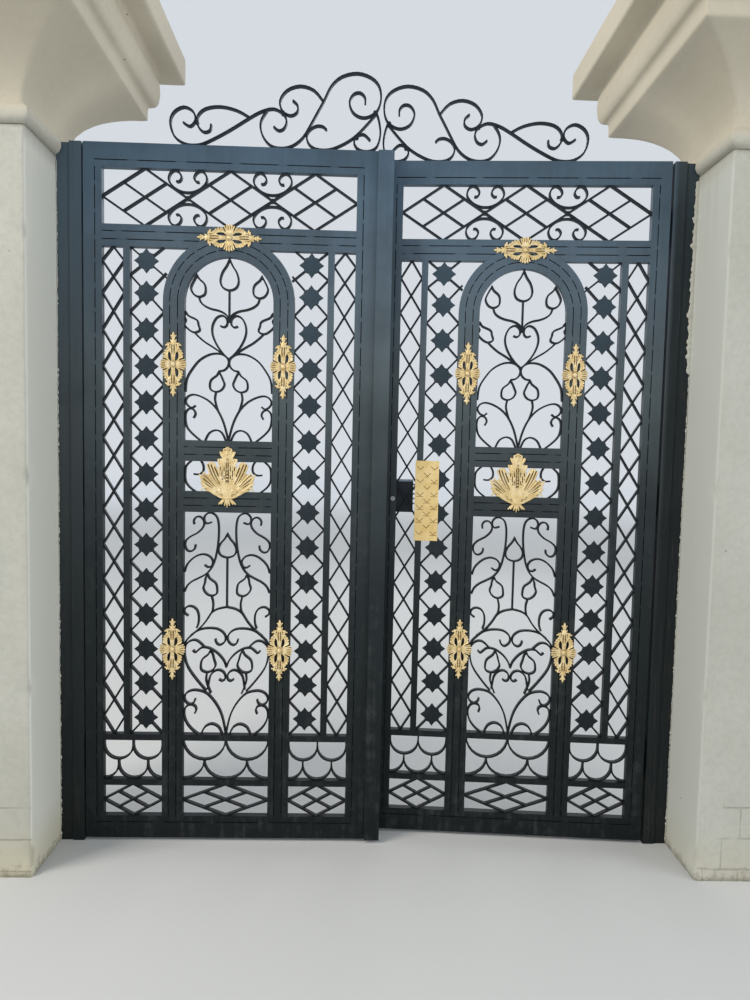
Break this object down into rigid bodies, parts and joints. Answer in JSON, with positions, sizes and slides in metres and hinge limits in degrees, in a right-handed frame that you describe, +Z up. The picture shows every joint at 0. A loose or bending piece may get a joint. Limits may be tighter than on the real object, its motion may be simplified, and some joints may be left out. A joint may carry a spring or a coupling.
{
  "type": "wrought iron double-leaf entrance gate with piers",
  "caption": "Double-leaf entrance gate of scrolled flat bar in arched steel frames, hung between square plastered piers with moulded capitals; the leaves swing inwards.",
  "frame": {"origin": "on the ground, midway between the two piers and on their common centre line", "axes": "+X to the right seen from outside, +Y inwards through the gateway, +Z up"},
  "size_m": [3.538, 1.004, 2.924],
  "materials": {
    "plaster": "cream lime plaster over masonry",
    "leaf_steel": "slate blue satin paint, worn",
    "jamb_steel": "dark satin paint",
    "gilt": "pale gold paint, hand applied",
    "lock_brass": "pierced and engraved, tarnished",
    "lock_metal": "black enamel"
  },
  "bodies": {
    "piers": {"left_pier": "plaster", "left_capital": "plaster", "left_jamb": "jamb_steel", "left_hinge_pins": "jamb_steel", "right_pier": "plaster", "right_capital": "plaster", "right_jamb": "jamb_steel", "right_hinge_pins": "jamb_steel"},
    "left_leaf": {"left_hinge_stile": "leaf_steel", "left_meeting_stile": "leaf_steel", "left_cover_strip": "leaf_steel", "left_top_rail": "leaf_steel", "left_transom_rail": "leaf_steel", "left_low_rails": "leaf_steel", "left_arch_frame": "leaf_steel", "left_slim_bars": "leaf_steel", "left_transom_lattice": "leaf_steel", "left_side_lattice": "leaf_steel", "left_star_lattice": "leaf_steel", "left_upper_scrolls": "leaf_steel", "left_lower_scrolls": "leaf_steel", "left_foot_panel": "leaf_steel", "left_cresting": "leaf_steel", "left_cartouches": "gilt", "left_palmette": "gilt", "left_knuckles": "leaf_steel"},
    "right_leaf": {"right_hinge_stile": "leaf_steel", "right_meeting_stile": "leaf_steel", "right_top_rail": "leaf_steel", "right_transom_rail": "leaf_steel", "right_low_rails": "leaf_steel", "right_arch_frame": "leaf_steel", "right_slim_bars": "leaf_steel", "right_transom_lattice": "leaf_steel", "right_side_lattice": "leaf_steel", "right_star_lattice": "leaf_steel", "right_upper_scrolls": "leaf_steel", "right_lower_scrolls": "leaf_steel", "right_foot_panel": "leaf_steel", "right_cresting": "leaf_steel", "right_cartouches": "gilt", "right_palmette": "gilt", "right_knuckles": "leaf_steel", "lock_plate": "lock_brass", "lock_case": "lock_metal"}
  },
  "joints": [
    {"name": "left_leaf_hinge", "type": "hinge", "parent": "piers", "child": "left_leaf", "pos_m": [-1.001, 0.101, 1.2], "axis": [0, 0, 1], "range_deg": [0, 90]},
    {"name": "right_leaf_hinge", "type": "hinge", "parent": "piers", "child": "right_leaf", "pos_m": [1.001, 0.101, 1.2], "axis": [0, 0, -1], "range_deg": [-4.4, 85.6]}
  ]
}
